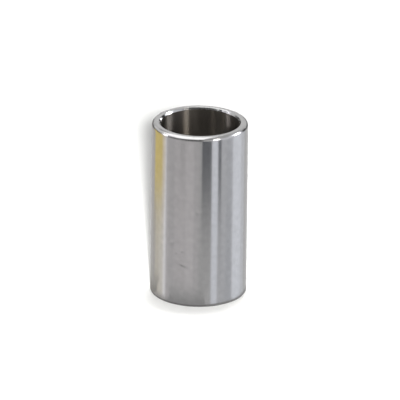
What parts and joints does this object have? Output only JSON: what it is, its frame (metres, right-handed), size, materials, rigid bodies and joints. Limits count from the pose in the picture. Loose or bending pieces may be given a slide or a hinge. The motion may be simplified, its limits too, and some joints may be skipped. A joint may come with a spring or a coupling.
{
  "type": "variator sleeve",
  "caption": "Plain ground steel sleeve with a through bore, chamfered bore mouths and rounded outer edges, which a variator's moving pulley half slides along.",
  "frame": {"origin": "centre of the lower end face, on the bore's axis", "axes": "+Z along the bore's axis from the lower end face to the upper one; X and Y are free, because the sleeve is round"},
  "size_m": [0.02, 0.02, 0.0377],
  "materials": {
    "ground_steel": "hardened bearing steel, ground round the outside, turned end faces, reamed bore"
  },
  "bodies": {
    "root": {"sleeve": "ground_steel"}
  },
  "joints": []
}
